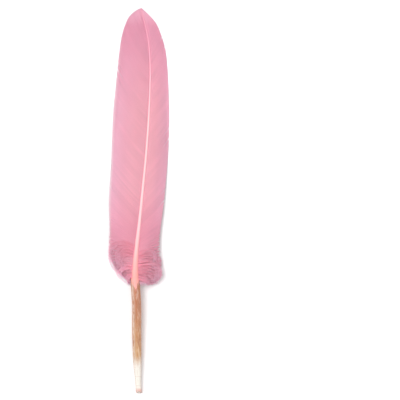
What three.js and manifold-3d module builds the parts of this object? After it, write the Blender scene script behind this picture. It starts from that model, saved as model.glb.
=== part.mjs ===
// A goose quill feather, dyed pink, lying on a table with its smooth upper side up.
// It grew as one piece, so it is one solid: a hollow horn quill that runs on as the rachis, the broad
// vane on its left, the narrow vane on its right, and soft downy locks round the foot of the vanes.
// Millimetres. Along the feather, "at" is the distance from the quill's cut end towards the tip.
// +Y runs from quill to tip, +X towards the narrow vane, +Z up. The origin is under the middle of the
// feather, on the surface that it rests on.
import * as THREE from "three";
import { mergeVertices } from "three/addons/utils/BufferGeometryUtils.js";
import Module from "manifold-3d";

const wasm = await Module();
wasm.setup();

// ---- driving dimensions ----
const LENGTH = 150;
const VANE_START = 46.4;
const VANE_LAST_ROOT = 148.9;
const QUILL_WALL = 0.42;
const HOLLOW_END = 40;
const HOLLOW_CLOSES = 31;
const LEFT = -1;
const RIGHT = 1;

// ---- fineness ----
const QUILL_ROWS = 20;
const BARB_ROWS = 78;
const SHAFT_COLUMNS = 8;
const BARB_COLUMNS = 6;
const HOLLOW_SIDES = 8;
const HOLLOW_ROWS = 6;
const LOCK_STATIONS = 8;
const MARCH_STEP = 0.1;
const THINNEST_TRIANGLE = 0.01;
const MENDING_ROUNDS = 30;

// A smooth function through [at, value] knots: cubic between knots, with weighted slopes.
function through(knots) {
  const run = (i) => knots[i + 1][0] - knots[i][0];
  const rise = (i) => (knots[i + 1][1] - knots[i][1]) / run(i);
  const last = knots.length - 1;
  const slopes = knots.map((_, i) => {
    if (i === 0) return rise(0);
    if (i === last) return rise(last - 1);
    return (run(i - 1) * rise(i) + run(i) * rise(i - 1)) / (run(i - 1) + run(i));
  });
  return (at) => {
    const clamped = THREE.MathUtils.clamp(at, knots[0][0], knots[last][0]);
    const next = knots.findIndex(([knot], i) => i > 0 && clamped <= knot);
    const i = next - 1;
    const h = run(i);
    const t = (clamped - knots[i][0]) / h;
    const fromStart = (1 + 2 * t) * (1 - t) ** 2 * knots[i][1] + t * (1 - t) ** 2 * h * slopes[i];
    const fromEnd = t * t * (3 - 2 * t) * knots[next][1] + t * t * (t - 1) * h * slopes[next];
    return fromStart + fromEnd;
  };
}

// The same for a margin that closes on a rounded tip, where the width grows as the root of the
// distance from the tip.
function throughToTip(knots) {
  const fromTip = (at) => Math.sqrt(Math.max(LENGTH - at, 0));
  const rounded = through(knots.map(([at, x]) => [fromTip(at), x]).reverse());
  return (at) => rounded(fromTip(at));
}

// ---- the shaft: its line in plan, its height and its section ----
const shaftX = through([
  [0, 0],
  [11, -0.5],
  [21, -0.74],
  [36, -0.85],
  [46, -1.4],
  [54, -1.0],
  [69, 0.6],
  [78, 1.5],
  [94, 3.0],
  [115, 4.25],
  [127, 4.45],
  [136, 3.9],
  [143.5, 2.5],
  [LENGTH, 0.7],
]);
const shaftZ = through([
  [0, 1.15],
  [12, 2.0],
  [25, 2.9],
  [43, 3.85],
  [60, 4.25],
  [75, 4.15],
  [90, 3.7],
  [105, 3.05],
  [120, 2.25],
  [135, 1.4],
  [LENGTH, 0.45],
]);
const shaftHalfWidth = through([
  [0, 1.12],
  [4, 1.15],
  [11, 1.58],
  [20, 1.78],
  [36, 1.87],
  [43, 1.8],
  [48, 1.35],
  [54, 1.02],
  [62, 0.76],
  [78, 0.58],
  [107, 0.42],
  [130, 0.3],
  [LENGTH, 0.18],
]);
const shaftHalfDepth = through([
  [0, 1.12],
  [4, 1.15],
  [11, 1.55],
  [20, 1.72],
  [43, 1.75],
  [50, 1.45],
  [62, 1.0],
  [78, 0.82],
  [107, 0.58],
  [130, 0.42],
  [LENGTH, 0.3],
]);
// How deep the groove under the rachis is, as a share of the half depth.
const grooveShare = through([
  [0, 0],
  [44, 0],
  [50, 0.34],
  [110, 0.3],
  [140, 0.1],
  [LENGTH, 0],
]);

// ---- the vanes: margins in plan, lean of the barbs, and camber ----
const margin = {
  [LEFT]: throughToTip([
    [43, -2.6],
    [45, -5.0],
    [47, -7.4],
    [50, -9.4],
    [53, -11.0],
    [57, -11.5],
    [63, -11.4],
    [74, -11.7],
    [90, -10.9],
    [100, -10.6],
    [110, -10.1],
    [118, -9.3],
    [127, -8.4],
    [134, -7.6],
    [140, -6.6],
    [144, -5.3],
    [146.8, -3.9],
    [148.6, -2.0],
    [149.6, -0.4],
    [LENGTH, 0.7],
  ]),
  [RIGHT]: throughToTip([
    [43.4, 5.4],
    [44.7, 8.2],
    [48.2, 9.2],
    [52, 8.8],
    [58, 8.0],
    [64, 8.5],
    [72, 9.6],
    [82, 10.6],
    [94, 11.5],
    [105, 11.8],
    [120, 11.5],
    [127, 11.1],
    [134, 10.3],
    [140, 8.5],
    [143.6, 7.0],
    [147.2, 4.1],
    [149, 2.2],
    [LENGTH, 0.7],
  ]),
};
// Degrees between a barb and the way to the tip, where it leaves the shaft and where it ends.
const leanAtRoot = through([
  [44, 100],
  [48, 86],
  [53, 69],
  [60, 54],
  [80, 47],
  [115, 40],
  [135, 29],
  [145, 14],
  [LENGTH, 4],
]);
const leanAtMargin = through([
  [44, 124],
  [48, 112],
  [53, 82],
  [60, 52],
  [80, 34],
  [115, 26],
  [135, 15],
  [145, 6],
  [LENGTH, 2],
]);
// How far the margin would hang below the shaft if no table were under it.
const drop = {
  [LEFT]: through([
    [45, 2.4],
    [75, 3.3],
    [95, 3.85],
    [108, 3.75],
    [120, 2.9],
    [135, 1.85],
    [LENGTH, 0.8],
  ]),
  [RIGHT]: through([
    [45, 2.2],
    [75, 3.1],
    [95, 3.75],
    [108, 3.7],
    [120, 2.85],
    [135, 1.8],
    [LENGTH, 0.8],
  ]),
};
const VANE_SWELL = { [LEFT]: 0.55, [RIGHT]: 0.3 };
const VANE_THICKNESS = 0.42;
const MARGIN_THICKNESS = 0.36;
const BARB_RIDGE = 0.09;
// The columns of a vane stand closer together towards the margin.
const COLUMN_CROWDING = 1.35;
// How far above the middle of the shaft the vanes grow from it, as a share of the half depth.
const VANE_RAISE = 0.3;

// ---- downy locks: where each leaves the shaft, its first and last lean, and its length ----
const LOCKS_PER_SIDE = 9;
const LOCK_FIRST_ROOT = 45.4;
const LOCK_ROOT_STEP = 1.3;
const lockFirstLean = through([
  [0, 92],
  [4, 66],
  [8, 46],
]);
const lockLastLean = through([
  [0, 140],
  [4, 178],
  [8, 184],
]);
const lockLength = {
  [LEFT]: through([
    [0, 6],
    [4, 11.5],
    [8, 13],
  ]),
  [RIGHT]: through([
    [0, 9.5],
    [4, 12.5],
    [8, 12],
  ]),
};
const LOCK_WIDTH = 1.3;
const LOCK_THICKNESS = 0.32;
const LOCK_TIP_SHARE = 0.3;
const LOCK_GAP = 0.1;
const LOCK_LIFT = 0.4;
const LOCK_SAG = 1.1;

// ---- shared geometry ----
const radians = THREE.MathUtils.degToRad;
const lerp = THREE.MathUtils.lerp;

// Moves every vertex of a three.js geometry to where place says, and makes it a solid. Triangles that
// place has closed up are left out.
function shapedSolid(geometry, place) {
  const bare = new THREE.BufferGeometry();
  bare.setIndex(geometry.index);
  bare.setAttribute("position", geometry.getAttribute("position").clone());
  const position = bare.getAttribute("position");
  const from = new THREE.Vector3();
  for (let i = 0; i < position.count; i += 1) {
    const to = place(from.fromBufferAttribute(position, i));
    position.setXYZ(i, to.x, to.y, to.z);
  }
  const merged = mergeVertices(bare, 1e-4);
  const corners = merged.index.array;
  const triVerts = [];
  for (let i = 0; i < corners.length; i += 3) {
    const [a, b, c] = corners.slice(i, i + 3);
    if (a !== b && b !== c && c !== a) triVerts.push(a, b, c);
  }
  return new wasm.Manifold(
    new wasm.Mesh({
      numProp: 3,
      vertProperties: merged.getAttribute("position").array,
      triVerts: new Uint32Array(triVerts),
    }),
  );
}

// How far out a point in plan lies: 0 on the shaft's line, 1 on the margin. Past the tip all is out.
function outShare(side, x, at) {
  if (at >= LENGTH) return Infinity;
  const reach = side * (margin[side](at) - shaftX(at));
  return (side * (x - shaftX(at))) / Math.max(reach, 0.01);
}

// The underside of the vane, which hangs from the shaft and lies flat where it meets the table.
function vaneUnderside(side, x, at) {
  const out = THREE.MathUtils.clamp(outShare(side, x, at), 0, 1);
  const root = shaftZ(at) + VANE_RAISE * shaftHalfDepth(at) - VANE_THICKNESS / 2;
  const swell = VANE_SWELL[side] * Math.min(1, root / 3) * Math.sin(Math.PI * out ** 0.8);
  return Math.max(0, root + swell - drop[side](at) * out ** 1.9);
}

// One barb in plan, at even steps from its root on the shaft to where it crosses the margin.
function barbPlan(side, root) {
  const path = [new THREE.Vector2(shaftX(root), root)];
  for (let out = 0; out < 1; ) {
    const from = path.at(-1);
    const lean = radians(lerp(leanAtRoot(root), leanAtMargin(root), out));
    const stride = new THREE.Vector2(side * Math.sin(lean), Math.cos(lean));
    const to = from.clone().addScaledVector(stride, MARCH_STEP);
    const outBefore = out;
    out = outShare(side, to.x, to.y);
    path.push(out < 1 ? to : from.clone().lerp(to, (1 - outBefore) / (out - outBefore)));
  }
  return path;
}

function pointAlong(path, share) {
  const place = share * (path.length - 1);
  const i = Math.min(Math.floor(place), path.length - 2);
  return path[i].clone().lerp(path[i + 1], place - i);
}

// ---- the pieces that grow together ----
// A point on the shaft's skin: share 0 is where the left vane grows from it and 1 where the right does.
function onShaft(at, share, upper) {
  const depth = shaftHalfDepth(at);
  const halfRoot = VANE_THICKNESS / 2 / depth;
  const reach = Math.min(0.9, upper ? VANE_RAISE + halfRoot : halfRoot - VANE_RAISE);
  const rise = Math.asin(reach);
  const turn = lerp(Math.PI - rise, rise, share);
  const groove = upper ? 0 : grooveShare(at) * Math.sin(turn) ** 6;
  const height = (1 - groove) * depth * Math.sin(turn);
  return new THREE.Vector3(
    shaftX(at) + shaftHalfWidth(at) * Math.cos(turn),
    at,
    shaftZ(at) + (upper ? height : -height),
  );
}

// The quill, the rachis and both vanes as one box: its rows are stations along the shaft, and its
// columns run from the left margin over the shaft to the right margin. Along the quill the columns
// of the vanes are closed up on its sides.
function makeBlade() {
  const columns = 2 * BARB_COLUMNS + SHAFT_COLUMNS;
  const rows = QUILL_ROWS + BARB_ROWS;
  const rootAt = (row) => {
    if (row < QUILL_ROWS) return (VANE_START * row) / QUILL_ROWS;
    return lerp(VANE_START, VANE_LAST_ROOT, (row - QUILL_ROWS) / BARB_ROWS);
  };
  const plans = { [LEFT]: [], [RIGHT]: [] };
  for (let row = 0; row <= rows; row += 1) {
    plans[LEFT].push(barbPlan(LEFT, rootAt(row)));
    plans[RIGHT].push(barbPlan(RIGHT, rootAt(row)));
  }
  const box = new THREE.BoxGeometry(1, 1, 1, columns, rows, 1);
  return shapedSolid(box, (from) => {
    const row = Math.round((from.y + 0.5) * rows);
    const column = Math.round((from.x + 0.5) * columns);
    const side = column < columns / 2 ? LEFT : RIGHT;
    const fromShaft = Math.abs(column - columns / 2) - SHAFT_COLUMNS / 2;
    if (fromShaft <= 0 || row < QUILL_ROWS) {
      const share = THREE.MathUtils.clamp((column - BARB_COLUMNS) / SHAFT_COLUMNS, 0, 1);
      return onShaft(rootAt(row), share, from.z > 0);
    }
    const out = 1 - (1 - fromShaft / BARB_COLUMNS) ** COLUMN_CROWDING;
    const plan = pointAlong(plans[side][row], out);
    const under = vaneUnderside(side, plan.x, plan.y);
    const ridge = row % 2 === 0 ? 0 : BARB_RIDGE;
    const upper = under + lerp(VANE_THICKNESS, MARGIN_THICKNESS, out) + ridge;
    return new THREE.Vector3(plan.x, plan.y, from.z > 0 ? upper : Math.max(0, under - ridge));
  });
}

// The air inside the quill, which opens at the cut end and closes to a point under the rachis.
function makeHollow() {
  const closing = (at) => lerp(1, 0.25, THREE.MathUtils.smoothstep(at, HOLLOW_CLOSES, HOLLOW_END));
  const tube = new THREE.CylinderGeometry(1, 1, 1, HOLLOW_SIDES, HOLLOW_ROWS);
  return shapedSolid(tube, (from) => {
    const at = (from.y + 0.5) * HOLLOW_END;
    const halfWidth = (shaftHalfWidth(at) - QUILL_WALL) * closing(at);
    const halfDepth = (shaftHalfDepth(at) - QUILL_WALL) * closing(at);
    return new THREE.Vector3(
      shaftX(at) + halfWidth * from.x,
      at - 0.01,
      shaftZ(at) - halfDepth * from.z,
    );
  });
}

// One lock of down: it leaves the shaft towards the margin and hooks back towards the quill. Every
// other lock lies over the vane; the rest hang under it.
function makeLock(side, index) {
  const root = LOCK_FIRST_ROOT + LOCK_ROOT_STEP * index;
  const over = index % 2 === 0;
  const length = lockLength[side](index);
  const leanAt = (share) => radians(lerp(lockFirstLean(index), lockLastLean(index), share ** 1.2));
  const path = [new THREE.Vector2(shaftX(root), root)];
  const steps = Math.ceil(length / MARCH_STEP);
  for (let i = 0; i < steps; i += 1) {
    const lean = leanAt(i / steps);
    const stride = length / steps;
    const from = path.at(-1);
    path.push(new THREE.Vector2(from.x + side * stride * Math.sin(lean), from.y + stride * Math.cos(lean)));
  }
  const heightAt = (share, plan) => {
    const bow = Math.sin(Math.PI * share);
    const under = vaneUnderside(side, plan.x, plan.y);
    const clear = LOCK_GAP + BARB_RIDGE + LOCK_THICKNESS / 2;
    if (over) return under + VANE_THICKNESS + clear + LOCK_LIFT * bow;
    return Math.max(LOCK_THICKNESS / 2, under - clear - LOCK_SAG * share);
  };
  const blade = new THREE.BoxGeometry(1, 1, 1, 1, LOCK_STATIONS, 1);
  return shapedSolid(blade, (from) => {
    const share = from.y + 0.5;
    const plan = pointAlong(path, share);
    const lean = leanAt(share);
    const taper = lerp(1, LOCK_TIP_SHARE, Math.abs(2 * share - 1) ** 1.5);
    const across = from.x * LOCK_WIDTH * taper;
    return new THREE.Vector3(
      plan.x + across * Math.cos(lean),
      plan.y - side * across * Math.sin(lean),
      heightAt(share, plan) + from.z * LOCK_THICKNESS,
    );
  });
}

// ---- mending: thin triangles left where the locks cross the shaft ----
// A triangle's corners turned so that its longest side is first, with that side's distance from the
// third corner.
function longestFirst(points, corners) {
  const sides = corners.map((corner, i) => points[corner].distanceTo(points[corners[(i + 1) % 3]]));
  const first = sides.indexOf(Math.max(...sides));
  const turned = [0, 1, 2].map((i) => corners[(first + i) % 3]);
  const [a, b, c] = turned.map((corner) => points[corner]);
  const doubleArea = b.clone().sub(a).cross(c.clone().sub(a)).length();
  return { turned, height: doubleArea / sides[first] };
}

function edgesOf(faces) {
  const edges = new Map();
  faces.forEach((corners, face) =>
    corners.forEach((corner, i) => edges.set(`${corner}>${corners[(i + 1) % 3]}`, face)),
  );
  return edges;
}

// Swaps the longest side of each thin triangle for the other diagonal of the pair that shares it.
function swapThin(points, faces) {
  const edges = edgesOf(faces);
  const touched = new Set();
  for (let face = 0; face < faces.length; face += 1) {
    const { turned, height } = longestFirst(points, faces[face]);
    if (height >= THINNEST_TRIANGLE || turned.some((corner) => touched.has(corner))) continue;
    const [a, b, c] = turned;
    const beside = edges.get(`${b}>${a}`);
    const d = faces[beside].find((corner) => corner !== a && corner !== b);
    if (touched.has(d) || edges.has(`${c}>${d}`) || edges.has(`${d}>${c}`)) continue;
    const pair = [
      [a, d, c],
      [d, b, c],
    ];
    const before = Math.min(height, longestFirst(points, faces[beside]).height);
    const after = Math.min(...pair.map((made) => longestFirst(points, made).height));
    if (after <= before) continue;
    [faces[face], faces[beside]] = pair;
    [a, b, c, d].forEach((corner) => touched.add(corner));
  }
}

// Draws the ends of each very short side together.
function closeShort(points, faces) {
  const neighbours = points.map(() => new Set());
  faces.forEach((corners) => corners.forEach((a) => corners.forEach((b) => neighbours[a].add(b))));
  const goes = new Map();
  const touched = new Set();
  faces.forEach((corners) =>
    corners.forEach((a, i) => {
      const b = corners[(i + 1) % 3];
      if (a > b || points[a].distanceTo(points[b]) >= THINNEST_TRIANGLE) return;
      const shared = [...neighbours[a]].filter((corner) => neighbours[b].has(corner));
      const around = [...neighbours[a], ...neighbours[b]];
      if (shared.length !== 4 || around.some((corner) => touched.has(corner))) return;
      around.forEach((corner) => touched.add(corner));
      goes.set(b, a);
    }),
  );
  const moved = faces.map((corners) => corners.map((corner) => goes.get(corner) ?? corner));
  return moved.filter(([a, b, c]) => a !== b && b !== c && c !== a);
}

function withoutSlivers(solid) {
  const { vertProperties, triVerts } = solid.getMesh();
  const points = [];
  for (let i = 0; i < vertProperties.length; i += 3)
    points.push(new THREE.Vector3().fromArray(vertProperties, i));
  let faces = [];
  for (let i = 0; i < triVerts.length; i += 3) faces.push([...triVerts.slice(i, i + 3)]);
  for (let round = 0; round < MENDING_ROUNDS; round += 1) {
    faces = closeShort(points, faces);
    swapThin(points, faces);
  }
  return new wasm.Manifold(
    new wasm.Mesh({
      numProp: 3,
      vertProperties,
      triVerts: new Uint32Array(faces.flat()),
    }),
  );
}

// ---- the feather ----
function makeFeather() {
  const pieces = [makeBlade()];
  for (const side of [LEFT, RIGHT])
    for (let index = 0; index < LOCKS_PER_SIDE; index += 1) pieces.push(makeLock(side, index));
  const whole = wasm.Manifold.union(pieces).subtract(makeHollow());
  const { vertProperties, triVerts } = withoutSlivers(whole).getMesh();
  const geometry = new THREE.BufferGeometry();
  geometry.setAttribute("position", new THREE.BufferAttribute(vertProperties, 3));
  geometry.setIndex(new THREE.BufferAttribute(triVerts, 1));
  geometry.computeBoundingBox();
  const { min, max } = geometry.boundingBox;
  geometry.translate(-(min.x + max.x) / 2, -(min.y + max.y) / 2, -min.z);
  geometry.computeVertexNormals();
  return geometry;
}

const dyedVane = new THREE.MeshStandardMaterial({
  color: 0xeea7b9,
  roughness: 0.62,
  metalness: 0,
  side: THREE.DoubleSide,
});
const feather = new THREE.Mesh(makeFeather(), dyedVane);
feather.name = "feather";

const group = new THREE.Group();
group.add(feather);
export default group;
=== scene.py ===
"""A goose quill feather, dyed pink, lying on a pale floor with its smooth upper side up.

The feather is built as it grows. A horn quill runs on as the rachis, every barb of the two vanes
leaves the rachis and curves out to the margin, and downy barbs with soft barbules fluff out round the
foot. Lengths are millimetres but for the stage; "at" is the distance from the cut end of the quill.
"""

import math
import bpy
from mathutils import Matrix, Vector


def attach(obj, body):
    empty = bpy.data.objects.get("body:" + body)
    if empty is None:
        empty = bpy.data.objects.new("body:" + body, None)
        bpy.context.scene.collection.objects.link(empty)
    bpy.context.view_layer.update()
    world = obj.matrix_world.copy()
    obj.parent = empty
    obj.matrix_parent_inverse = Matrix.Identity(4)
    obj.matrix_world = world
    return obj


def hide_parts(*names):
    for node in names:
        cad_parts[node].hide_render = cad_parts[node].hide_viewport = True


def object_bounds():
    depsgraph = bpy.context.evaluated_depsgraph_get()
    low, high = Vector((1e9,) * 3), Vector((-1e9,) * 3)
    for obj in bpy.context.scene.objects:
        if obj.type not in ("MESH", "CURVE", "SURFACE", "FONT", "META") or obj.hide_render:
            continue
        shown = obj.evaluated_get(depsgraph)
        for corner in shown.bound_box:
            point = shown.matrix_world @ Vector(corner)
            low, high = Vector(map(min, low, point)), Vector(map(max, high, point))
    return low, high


bl_info = {
    "name": "Goose Quill Feather",
    "version": (1, 0, 0),
    "blender": (4, 5, 0),
    "location": "3D View > Sidebar > Feather",
    "description": "Builds a dyed goose feather barb by barb round its quill",
    "category": "Add Mesh",
}

import bpy
import numpy as np
from mathutils import Vector

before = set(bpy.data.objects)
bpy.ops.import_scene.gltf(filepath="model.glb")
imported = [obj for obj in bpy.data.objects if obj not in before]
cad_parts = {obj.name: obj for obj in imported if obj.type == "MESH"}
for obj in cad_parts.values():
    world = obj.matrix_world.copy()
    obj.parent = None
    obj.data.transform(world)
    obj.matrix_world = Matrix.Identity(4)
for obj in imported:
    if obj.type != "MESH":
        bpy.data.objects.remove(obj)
cad_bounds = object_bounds()

# ---- where the feather lies ----
MM = 0.001
LENGTH = 150.0
CUT_END = np.array([-0.058, cad_bounds[0][1] / MM, 0.0])
LEFT = -1
RIGHT = 1

# ---- how the pieces are cut ----
QUILL_WALL = 0.42
HOLLOW_END = 40.0
HOLLOW_CLOSES = 31.0
FIRST_CAP = 6.8
CAP_MARK_BEFORE = 0.65
CAP_SIDES = 24
CAP_THICKNESS = 0.07
# rings of a cap from its rim to its middle: share of the rim's size, and how far forward
CAP_PROFILE = ((1.0, 0.0), (0.8, 0.35), (0.45, 0.62), (0.12, 0.7))
FIRST_BARB = 46.0
LAST_BARB = 149.2
SPLITS_FROM = 64
SPLITS_TO = 128
SPLIT_CHANCE = 0.16
SPLIT_PULL = 3.0
VANE_RAISE = 0.3
VANE_THICKNESS = 0.42
VANE_SWELL = {LEFT: 0.55, RIGHT: 0.3}
BARB_STATIONS = 22
MARCH_STEP = 0.12
SHAFT_SIDES = 40
PITH_STARTS = 44.2
PITH_POINT = 3.4
CUT_SLANT = 0.9
FRINGE_ROWS = 64
FRINGE_ENDS = 64
LOCK_BARBS = 9
DOWN_STATIONS = 20
DOWN_ROWS = 54
DOWN_LOWEST = 43.3
DOWN_BUNCHING = 0.2
LOWEST_LOCK = 44.3
LOOSE_CHANCE = 0.22
LOOSE_DROP = (0.5, 3.4)
# share of its drop by which a loose strand is held higher before it is let down
LOOSE_DROP_HELD = 0.6
STRAND_REST = 0.09
FLOOR_GAP = 0.03

# ---- for the shaders: lengths, and how deep red, green and blue light goes into the dye ----
HORN_SPAN = 50.0
PITH_FADE = 5.0
BARBULES_PER_MM = 14.0
DYE_DEPTH = (1.0, 0.5, 0.6)

# ---- the stage, in metres and watts; lens and view are in millimetres ----
FLOOR_REACH = 3.0
KEY_LIGHT = {"place": (-0.4, 0.25, 0.9), "size": 0.6, "power": 7.0}
FILL_LIGHT = {"place": (0.6, -0.3, 0.8), "size": 0.9, "power": 2.1}
WORLD_LIGHT = 0.62
CAMERA_LENS = 180.0
CAMERA_CLIP = 20
VIEW_WIDTH = 155.7
VIEW_CENTRE = (23.7, 0.3)


def smooth(low, high, value):
    """0 below low, 1 above high, and smooth between them."""
    t = np.clip((value - low) / (high - low), 0, 1)
    return t * t * (3 - 2 * t)


def blended(a, b, t):
    return a + (b - a) * t


def dye(code):
    """A colour code such as EEA7B9 as linear red, green, blue and alpha."""
    parts = [int(code[i : i + 2], 16) / 255 for i in (0, 2, 4)]
    return tuple(c / 12.92 if c <= 0.04045 else ((c + 0.055) / 1.055) ** 2.4 for c in parts) + (1.0,)


def through(*knots):
    """A smooth function through (at, value) knots: cubic between them, with weighted slopes."""
    at, value = np.array(knots, float).T
    run = np.diff(at)
    rise = np.diff(value) / run
    slope = np.empty(len(at))
    slope[0], slope[-1] = rise[0], rise[-1]
    slope[1:-1] = (run[:-1] * rise[1:] + run[1:] * rise[:-1]) / (run[:-1] + run[1:])

    def value_at(where):
        where = np.clip(where, at[0], at[-1])
        i = np.clip(np.searchsorted(at, where) - 1, 0, len(run) - 1)
        t = (where - at[i]) / run[i]
        from_start = (1 + 2 * t) * (1 - t) ** 2 * value[i] + t * (1 - t) ** 2 * run[i] * slope[i]
        from_end = t * t * (3 - 2 * t) * value[i + 1] + t * t * (t - 1) * run[i] * slope[i + 1]
        return from_start + from_end

    return value_at


def through_to_tip(*knots):
    """The same for a margin that closes on a rounded tip."""
    rounded = through(*[(math.sqrt(LENGTH - at), x) for at, x in reversed(knots)])
    return lambda at: rounded(np.sqrt(np.clip(LENGTH - np.asarray(at, float), 0, None)))


# ---- the form: the same lines as the solid ----
shaft_x = through(
    (0, 0), (11, -0.5), (21, -0.74), (36, -0.85), (46, -1.4), (54, -1.0), (69, 0.6), (78, 1.5),
    (94, 3.0), (115, 4.25), (127, 4.45), (136, 3.9), (143.5, 2.5), (LENGTH, 0.7),
)
shaft_z = through(
    (0, 1.15), (12, 2.0), (25, 2.9), (43, 3.85), (60, 4.25), (75, 4.15), (90, 3.7), (105, 3.05),
    (120, 2.25), (135, 1.4), (LENGTH, 0.45),
)
shaft_half_width = through(
    (0, 1.12), (4, 1.15), (11, 1.58), (20, 1.78), (36, 1.87), (43, 1.8), (48, 1.35), (54, 1.02),
    (62, 0.76), (78, 0.58), (107, 0.42), (130, 0.3), (LENGTH, 0.18),
)
shaft_half_depth = through(
    (0, 1.12), (4, 1.15), (11, 1.55), (20, 1.72), (43, 1.75), (50, 1.45), (62, 1.0), (78, 0.82),
    (107, 0.58), (130, 0.42), (LENGTH, 0.3),
)
groove_share = through((0, 0), (44, 0), (50, 0.34), (110, 0.3), (140, 0.1), (LENGTH, 0))
margin_x = {
    LEFT: through_to_tip(
        (43, -2.6), (45, -5.0), (47, -7.4), (50, -9.4), (53, -11.0), (57, -11.5), (63, -11.4),
        (74, -11.7), (90, -10.9), (100, -10.6), (110, -10.1), (118, -9.3), (127, -8.4), (134, -7.6),
        (140, -6.6), (144, -5.3), (146.8, -3.9), (148.6, -2.0), (149.6, -0.4), (LENGTH, 0.7),
    ),
    RIGHT: through_to_tip(
        (43.4, 5.4), (44.7, 8.2), (48.2, 9.2), (52, 8.8), (58, 8.0), (64, 8.5), (72, 9.6), (82, 10.6),
        (94, 11.5), (105, 11.8), (120, 11.5), (127, 11.1), (134, 10.3), (140, 8.5), (143.6, 7.0),
        (147.2, 4.1), (149, 2.2), (LENGTH, 0.7),
    ),
}
lean_at_root = through(
    (44, 100), (48, 86), (53, 69), (60, 54), (80, 47), (115, 40), (135, 29), (145, 14), (LENGTH, 4)
)
lean_at_margin = through(
    (44, 124), (48, 112), (53, 82), (60, 52), (80, 34), (115, 26), (135, 15), (145, 6), (LENGTH, 2)
)
margin_drop = {
    LEFT: through((45, 2.4), (75, 3.3), (95, 3.85), (108, 3.75), (120, 2.9), (135, 1.85), (LENGTH, 0.8)),
    RIGHT: through((45, 2.2), (75, 3.1), (95, 3.75), (108, 3.7), (120, 2.85), (135, 1.8), (LENGTH, 0.8)),
}

# downy locks, from the lowest on the foot (0) to the highest (1)
lock_length = {LEFT: through((0, 6), (0.5, 15), (1, 27)), RIGHT: through((0, 13), (0.5, 18.5), (1, 17.5))}
lock_first_lean = {LEFT: through((0, 96), (0.6, 62), (1, 36)), RIGHT: through((0, 99), (1, 72))}
lock_last_lean = {LEFT: through((0, 180), (0.5, 225), (1, 240)), RIGHT: through((0, 250), (1, 228))}
LOCK_CURL_STARTS = {LEFT: 0.03, RIGHT: 0.26}
HIGHEST_LOCK = {LEFT: 58.0, RIGHT: 54.6}


def out_share(side, x, at):
    """How far out a point in plan lies: 0 on the shaft's line, 1 on the margin."""
    reach = side * (margin_x[side](at) - shaft_x(at))
    share = side * (x - shaft_x(at)) / np.maximum(reach, 0.01)
    return np.where(at >= LENGTH, np.inf, share)


def vane_height(side, x, at):
    """The middle of the vane's sheet, which eases down onto the floor at the margin."""
    out = np.clip(out_share(side, x, at), 0, 1)
    root = shaft_z(at) + VANE_RAISE * shaft_half_depth(at) - VANE_THICKNESS / 2
    swell = VANE_SWELL[side] * np.minimum(1, root / 3) * np.sin(np.pi * out**0.8)
    hang = root + swell - margin_drop[side](at) * out**1.9
    return 0.1 + 0.5 * (hang + np.sqrt(hang * hang + 0.06))


def vane_normal(side, x, at):
    step = 0.2
    slope_x = (vane_height(side, x + step, at) - vane_height(side, x - step, at)) / (2 * step)
    slope_at = (vane_height(side, x, at + step) - vane_height(side, x, at - step)) / (2 * step)
    return unit(np.stack([-slope_x, -slope_at, np.ones_like(slope_x)], axis=-1))


def unit(vectors):
    return vectors / np.maximum(np.linalg.norm(vectors, axis=-1, keepdims=True), 1e-12)


# ---- meshes ----
def swept(centres, ups, section, widths, heights):
    """Closed strands along centre lines, as points and faces.

    centres and ups are arrays of strand, station and xyz; section is a ring of (side, up) points.
    """
    strands, stations = centres.shape[:2]
    tangents = unit(np.gradient(centres, axis=1))
    sides = unit(np.cross(ups, tangents))
    square_ups = np.cross(tangents, sides)
    across = widths[:, :, None] * section[:, 0]
    above = heights[:, :, None] * section[:, 1]
    points = (
        centres[:, :, None, :]
        + sides[:, :, None, :] * across[..., None]
        + square_ups[:, :, None, :] * above[..., None]
    )
    ring = len(section)
    strand = np.arange(strands)[:, None, None] * stations * ring
    station = np.arange(stations - 1)[None, :, None] * ring
    corner = np.arange(ring)[None, None, :]
    here = strand + station + corner
    beside = strand + station + (corner + 1) % ring
    quads = np.stack([here, here + ring, beside + ring, beside], axis=-1).reshape(-1, 4)
    first = (strand + corner).reshape(-1, ring)
    last = first[:, ::-1] + (stations - 1) * ring
    return points.reshape(-1, 3), quads.tolist() + first.tolist() + last.tolist()


def joined(*parts):
    """Several (points, faces, marks) as one."""
    faces, start = [], 0
    for points, part_faces, _ in parts:
        faces += [[corner + start for corner in face] for face in part_faces]
        start += len(points)
    marks = {name: np.concatenate([part[2][name] for part in parts]) for name in parts[0][2]}
    return np.concatenate([part[0] for part in parts]), faces, marks


def piece(name, points, faces, marks, materials, slot, material_of_face=None):
    """A smooth mesh object in the row frame that rides on the feather and stands for its solid."""
    mesh = bpy.data.meshes.new(name)
    mesh.from_pydata(((points + CUT_END) * MM).tolist(), [], faces)
    for mark, values in marks.items():
        attribute = mesh.attributes.new(mark, "FLOAT_VECTOR", "POINT")
        attribute.data.foreach_set("vector", np.asarray(values, np.float32).ravel())
    for material in materials:
        mesh.materials.append(material)
    if material_of_face is not None:
        mesh.polygons.foreach_set("material_index", material_of_face)
    mesh.shade_smooth()
    mesh.update()
    obj = bpy.data.objects.new(name, mesh)
    bpy.context.scene.collection.objects.link(obj)
    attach(obj, "root")
    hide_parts("feather")
    return obj


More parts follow.
